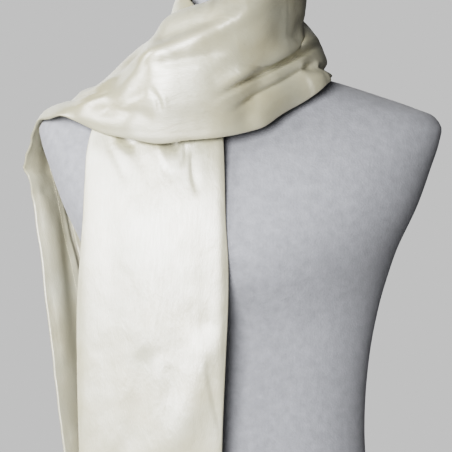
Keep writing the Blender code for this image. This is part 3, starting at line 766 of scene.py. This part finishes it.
def satin_material(cloth):
    """Ivory satin: fine floats along the cloth, soft mottling and uneven gloss."""
    parts = new_material("ivory_satin")
    made, link, shader, add = parts
    shader.inputs["IOR"].default_value = 2.05
    shader.inputs["Specular IOR Level"].default_value = 1.0
    shader.inputs["Anisotropic"].default_value = 0.7
    shader.inputs["Anisotropic Rotation"].default_value = 0.25
    place = add("ShaderNodeUVMap", uv_map="cloth")
    colours = cloth.deep_colour, cloth.light_colour
    mottle(parts, place.outputs["UV"], colours, stops=(0.30, 0.68), Scale=16.0, Detail=3.0)

    # gloss in faint streaks along the cloth
    drawn = add("ShaderNodeMapping", Scale=(46.0, 330.0, 1.0))
    link(place.outputs["UV"], drawn.inputs["Vector"])
    gloss = add("ShaderNodeTexNoise", Scale=1.0, Detail=4.0, Roughness=0.6)
    link(drawn.outputs["Vector"], gloss.inputs["Vector"])
    rough = add("ShaderNodeMapRange")
    rough.inputs["From Min"].default_value = 0.3
    rough.inputs["From Max"].default_value = 0.7
    rough.inputs["To Min"].default_value = cloth.gloss - 0.04
    rough.inputs["To Max"].default_value = cloth.gloss + 0.05
    link(gloss.outputs["Fac"], rough.inputs["Value"])
    link(rough.outputs["Result"], shader.inputs["Roughness"])

    # floats of the satin weave, long along the cloth and fine across it
    stretch = add("ShaderNodeMapping", Scale=(190.0, 1100.0, 1.0))
    link(place.outputs["UV"], stretch.inputs["Vector"])
    weave = relief(parts, "ShaderNodeTexNoise", stretch.outputs["Vector"], None,
                   0.5, 0.00032, Scale=1.0, Detail=2.0)
    # fine wrinkles, drawn out along the cloth
    slant = add("ShaderNodeMapping", Scale=(28.0, 62.0, 1.0), Rotation=(0.0, 0.0, 0.2))
    link(place.outputs["UV"], slant.inputs["Vector"])
    wrinkles = relief(parts, "ShaderNodeTexNoise", slant.outputs["Vector"], weave,
                      0.5, 0.0010, Scale=1.0, Detail=3.0, Distortion=0.6)
    link(wrinkles, shader.inputs["Normal"])
    tangent = add("ShaderNodeTangent", direction_type="UV_MAP", uv_map="cloth")
    link(tangent.outputs["Tangent"], shader.inputs["Tangent"])
    return made


def thread_material():
    """Ivory sewing thread, with a faint twist."""
    parts = new_material("sewing_thread")
    made, _, shader, add = parts
    place = add("ShaderNodeTexCoord").outputs["Object"]
    mottle(parts, place, ((0.70, 0.66, 0.53), (0.84, 0.80, 0.68)), Scale=900.0, Detail=1.0)
    shader.inputs["Roughness"].default_value = 0.55
    return made


def jersey_material(form):
    """Grey-white jersey: fine knit ribs, soft mottling and a little fuzz."""
    parts = new_material("grey_white_jersey")
    made, link, shader, add = parts
    shader.inputs["Roughness"].default_value = 0.82
    shader.inputs["Sheen Weight"].default_value = 0.25
    shader.inputs["Sheen Roughness"].default_value = 0.6
    place = add("ShaderNodeTexCoord").outputs["Object"]
    deep = [c * 0.90 for c in form.colour]
    light = [min(1, c * 1.08) for c in form.colour]
    mottle(parts, place, (deep, light), stops=(0.32, 0.68), Scale=100.0, Detail=5.0, Roughness=0.62)
    knit = relief(parts, "ShaderNodeTexWave", place, None,
                  0.25, 0.00012, Scale=WAVE_SCALE / form.knit, Distortion=1.2, Detail=1.0)
    fuzz = relief(parts, "ShaderNodeTexNoise", place, knit, 0.5, 0.0007, Scale=420.0, Detail=3.0)
    link(fuzz, shader.inputs["Normal"])
    return made


def plain_material(name, colour, roughness):
    """A finish with a faint unevenness."""
    parts = new_material(name)
    made, _, shader, add = parts
    place = add("ShaderNodeTexCoord").outputs["Object"]
    mottle(parts, place, ([c * 0.985 for c in colour], colour), Scale=3.0, Detail=2.0)
    shader.inputs["Roughness"].default_value = roughness
    return made


def build_satin(cloth):
    """The whole stole as one sheet with a wall, thicker at its hems."""
    sheet = stole_sheet(cloth.hem_width)
    mesh = grid_mesh("satin_stole", sheet.points, closed=False, ends=False)
    layer = mesh.uv_layers.new(name="cloth")
    rows, columns = sheet.across.shape
    along = np.repeat(sheet.along, columns)
    places = np.stack([along, sheet.across.ravel()], 1)
    corners = np.zeros(len(mesh.loops), int)
    mesh.loops.foreach_get("vertex_index", corners)
    layer.data.foreach_set("uv", places[corners].ravel())
    stole = add_piece("satin_stole", mesh, satin_material(cloth))
    group = stole.vertex_groups.new(name="hem")
    thin = cloth.wall / cloth.hem_wall
    hemmed = sheet.hem.ravel() > 0.5
    group.add([int(i) for i in np.nonzero(hemmed)[0]], 1.0, "REPLACE")
    group.add([int(i) for i in np.nonzero(~hemmed)[0]], thin, "REPLACE")
    wall = stole.modifiers.new("wall", "SOLIDIFY")
    wall.thickness = cloth.hem_wall
    wall.offset = 0.0
    wall.vertex_group = "hem"
    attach(stole, "root")
    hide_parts(*[s.name for s in STRETCHES])
    return stole, sheet


def stitch_tree(finish):
    """Geometry nodes that lay stitches along a line of points."""
    tree = bpy.data.node_groups.new("stitches", "GeometryNodeTree")
    face = tree.interface
    face.new_socket("Geometry", in_out="INPUT", socket_type="NodeSocketGeometry")
    step = face.new_socket("Step", in_out="INPUT", socket_type="NodeSocketFloat")
    size = face.new_socket("Length", in_out="INPUT", socket_type="NodeSocketFloat")
    thread = face.new_socket("Thread", in_out="INPUT", socket_type="NodeSocketFloat")
    face.new_socket("Geometry", in_out="OUTPUT", socket_type="NodeSocketGeometry")
    add, link = tree.nodes.new, tree.links.new
    given, result = add("NodeGroupInput"), add("NodeGroupOutput")
    curve = add("GeometryNodeMeshToCurve")
    link(given.outputs["Geometry"], curve.inputs["Mesh"])
    spread = add("GeometryNodeResampleCurve")
    spread.mode = "LENGTH"
    link(curve.outputs["Curve"], spread.inputs["Curve"])
    link(given.outputs["Step"], spread.inputs["Length"])
    tangent = add("GeometryNodeInputTangent")
    turn = add("FunctionNodeAlignEulerToVector")
    turn.axis = "Z"
    link(tangent.outputs["Tangent"], turn.inputs["Vector"])
    stitch = add("GeometryNodeMeshCylinder")
    stitch.inputs["Vertices"].default_value = 6
    stitch.inputs["Side Segments"].default_value = 2
    link(given.outputs["Thread"], stitch.inputs["Radius"])
    link(given.outputs["Length"], stitch.inputs["Depth"])
    each = add("GeometryNodeInstanceOnPoints")
    link(spread.outputs["Curve"], each.inputs["Points"])
    link(stitch.outputs["Mesh"], each.inputs["Instance"])
    link(turn.outputs["Rotation"], each.inputs["Rotation"])
    real = add("GeometryNodeRealizeInstances")
    link(each.outputs["Instances"], real.inputs["Geometry"])
    paint = add("GeometryNodeSetMaterial")
    paint.inputs["Material"].default_value = finish
    link(real.outputs["Geometry"], paint.inputs["Geometry"])
    link(paint.outputs["Geometry"], result.inputs["Geometry"])
    return tree, {"step": step.identifier, "length": size.identifier, "thread": thread.identifier}


def build_stitches(cloth, sheet):
    """Rows of stitches along the turned-in hem and both end hems, on the inner
    line of each hem. The end hems have them outside and on the turned-in side."""
    off = cloth.hem_wall / 2
    inner = HEM_POINTS - 1
    side = sheet.points[:, inner] - sheet.normals[:, inner] * off
    last = len(sheet.along) - 1
    near = int(np.searchsorted(sheet.along, cloth.hem_width - TINY))
    far = last - near
    lines = [side[near:far + 1]]
    first = RETURN_POINTS + 1 + EDGE_POINTS
    for row in (near, far):
        lines.append((sheet.points[row] + sheet.normals[row] * off)[first:-first])
        lines.append((sheet.points[row] - sheet.normals[row] * off)[:RETURN_POINTS + 1])
    points, edges = [], []
    for line in lines:
        edges += [(len(points) + k, len(points) + k + 1) for k in range(len(line) - 1)]
        points += [tuple(p) for p in line]
    path = bpy.data.meshes.new("hem_lines")
    path.from_pydata(points, edges, [])
    guide = bpy.data.objects.new("hem_lines", path)
    bpy.context.scene.collection.objects.link(guide)
    finish = thread_material()
    tree, sockets = stitch_tree(finish)
    modifier = guide.modifiers.new("stitches", "NODES")
    modifier.node_group = tree
    modifier[sockets["step"]] = cloth.stitch
    modifier[sockets["length"]] = cloth.stitch * STITCH_SHARE
    modifier[sockets["thread"]] = THREAD
    bpy.context.view_layer.update()
    ready = guide.evaluated_get(bpy.context.evaluated_depsgraph_get())
    mesh = bpy.data.meshes.new_from_object(ready)
    mesh.name = "hem_stitches"
    guide.modifiers.clear()
    bpy.data.objects.remove(guide)
    stitches = add_piece("hem_stitches", mesh, finish)
    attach(stitches, "root")
    return stitches


def build_form(form):
    """The jersey skin over the form: the same sections, much finer."""
    rows = np.array(FORM_ROWS)
    along = run_of(rows[:, :2])
    places = []
    for start, end in zip(along, along[1:]):
        parts = max(2, round((end - start) / RING_GAP))
        places += list(np.linspace(start, end, parts, endpoint=False))
    places.append(along[-1])
    angle = 2 * math.pi * np.arange(form.points) / form.points
    rings = []
    for height, half_width, front, back, square in smooth_rows(rows, along, np.array(places)):
        x = half_width * np.copysign(abs(np.cos(angle)) ** (2 / square), np.cos(angle))
        y = np.copysign(abs(np.sin(angle)) ** (2 / square), np.sin(angle))
        y = y * np.where(y > 0, back, front)
        rings.append(np.stack([x, y, np.full_like(x, height)], 1))
    mesh = grid_mesh("jersey_form", rings, closed=True, ends=True)
    made = add_piece("jersey_form", mesh, jersey_material(form))
    mesh.set_sharp_from_angle(angle=SHARP)
    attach(made, "root")
    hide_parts("dress_form")
    return made


def build_world(studio):
    """A grey background for the camera, and a faint even glow for the rest."""
    world = bpy.data.worlds.new("grey_studio")
    world.use_nodes = True
    tree = world.node_tree
    seen = tree.nodes["Background"]
    seen.inputs["Color"].default_value = (*[studio.grey] * 3, 1)
    glow = tree.nodes.new("ShaderNodeBackground")
    glow.inputs["Color"].default_value = GLOW_COLOUR
    glow.inputs["Strength"].default_value = studio.glow
    rays = tree.nodes.new("ShaderNodeLightPath")
    both = tree.nodes.new("ShaderNodeMixShader")
    tree.links.new(rays.outputs["Is Camera Ray"], both.inputs["Fac"])
    tree.links.new(glow.outputs["Background"], both.inputs[1])
    tree.links.new(seen.outputs["Background"], both.inputs[2])
    tree.links.new(both.outputs["Shader"], tree.nodes["World Output"].inputs["Surface"])
    bpy.context.scene.world = world


def build_floor(studio):
    """A thin round floor, just under the part."""
    angle = 2 * math.pi * np.arange(FLOOR_POINTS) / FLOOR_POINTS
    ring = studio.radius * np.stack([np.cos(angle), np.sin(angle), 0 * angle], 1)
    rings = [ring + (0, 0, FLOOR_UNDERSIDE), ring + (0, 0, FLOOR_TOP)]
    mesh = grid_mesh("studio_floor", rings, closed=True, ends=True)
    finish = plain_material("pale_floor", FLOOR_COLOUR, FLOOR_ROUGHNESS)
    floor = add_piece("studio_floor", mesh, finish)
    mesh.shade_flat()


def build_light(light, power):
    """A round area light that faces its target."""
    data = bpy.data.lights.new(light.name, "AREA")
    data.shape = "DISK"
    data.size = light.size
    data.energy = power
    data.color = light.colour
    lamp = bpy.data.objects.new(light.name, data)
    lamp.location = light.place
    way = Vector(light.target) - Vector(light.place)
    lamp.rotation_euler = way.to_track_quat("-Z", "Y").to_euler()
    bpy.context.scene.collection.objects.link(lamp)


def build_camera():
    """The level camera that the photograph was matched with."""
    lens = bpy.data.cameras.new("camera")
    lens.lens = LENS
    lens.sensor_width = SENSOR
    camera = bpy.data.objects.new("camera", lens)
    camera.location = CAMERA_PLACE
    camera.rotation_euler = (math.pi / 2, 0, 0)
    bpy.context.scene.collection.objects.link(camera)
    bpy.context.scene.camera = camera


class STOLE_OT_satin(bpy.types.Operator):
    """Build the satin stole and its stitches"""

    bl_idname = "stole.satin"
    bl_label = "Satin stole"

    def execute(self, context):
        cloth = context.scene.stole_cloth
        stole, sheet = build_satin(cloth)
        stitches = build_stitches(cloth, sheet)
        return {"FINISHED"}


class STOLE_OT_form(bpy.types.Operator):
    """Build the jersey skin of the dress form"""

    bl_idname = "stole.form"
    bl_label = "Dress form"

    def execute(self, context):
        build_form(context.scene.stole_form)
        return {"FINISHED"}


class STOLE_OT_studio(bpy.types.Operator):
    """Build the floor, the lights, the background and the camera"""

    bl_idname = "stole.studio"
    bl_label = "Studio"

    def execute(self, context):
        studio = context.scene.stole_studio
        context.scene.view_settings.view_transform = "Filmic"
        context.scene.view_settings.look = "Very High Contrast"
        build_world(studio)
        build_floor(studio)
        for light in LIGHTS:
            build_light(light, getattr(studio, light.power))
        build_camera()
        return {"FINISHED"}


class STOLE_PT_panel(bpy.types.Panel):
    """Lists the sizes and colours, and the operators that use them"""

    bl_label = "Stole"
    bl_idname = "STOLE_PT_panel"
    bl_space_type = "VIEW_3D"
    bl_region_type = "UI"
    bl_category = "Stole"

    def draw(self, context):
        for group, operator in GROUPS:
            settings = getattr(context.scene, group)
            box = self.layout.box()
            for name in settings.__annotations__:
                box.prop(settings, name)
            box.operator(operator)


GROUPS = [
    ("stole_form", "stole.form"),
    ("stole_cloth", "stole.satin"),
    ("stole_studio", "stole.studio"),
]
CLASSES = [
    ClothSettings, FormSettings, StudioSettings,
    STOLE_OT_form, STOLE_OT_satin, STOLE_OT_studio, STOLE_PT_panel,
]


def register():
    for each in CLASSES:
        bpy.utils.register_class(each)
    bpy.types.Scene.stole_cloth = bpy.props.PointerProperty(type=ClothSettings)
    bpy.types.Scene.stole_form = bpy.props.PointerProperty(type=FormSettings)
    bpy.types.Scene.stole_studio = bpy.props.PointerProperty(type=StudioSettings)


def unregister():
    del bpy.types.Scene.stole_cloth
    del bpy.types.Scene.stole_form
    del bpy.types.Scene.stole_studio
    for each in reversed(CLASSES):
        bpy.utils.unregister_class(each)


def main():
    register()
    bpy.ops.stole.form()
    bpy.ops.stole.satin()
    bpy.ops.stole.studio()


if __name__ == "__main__":
    main()
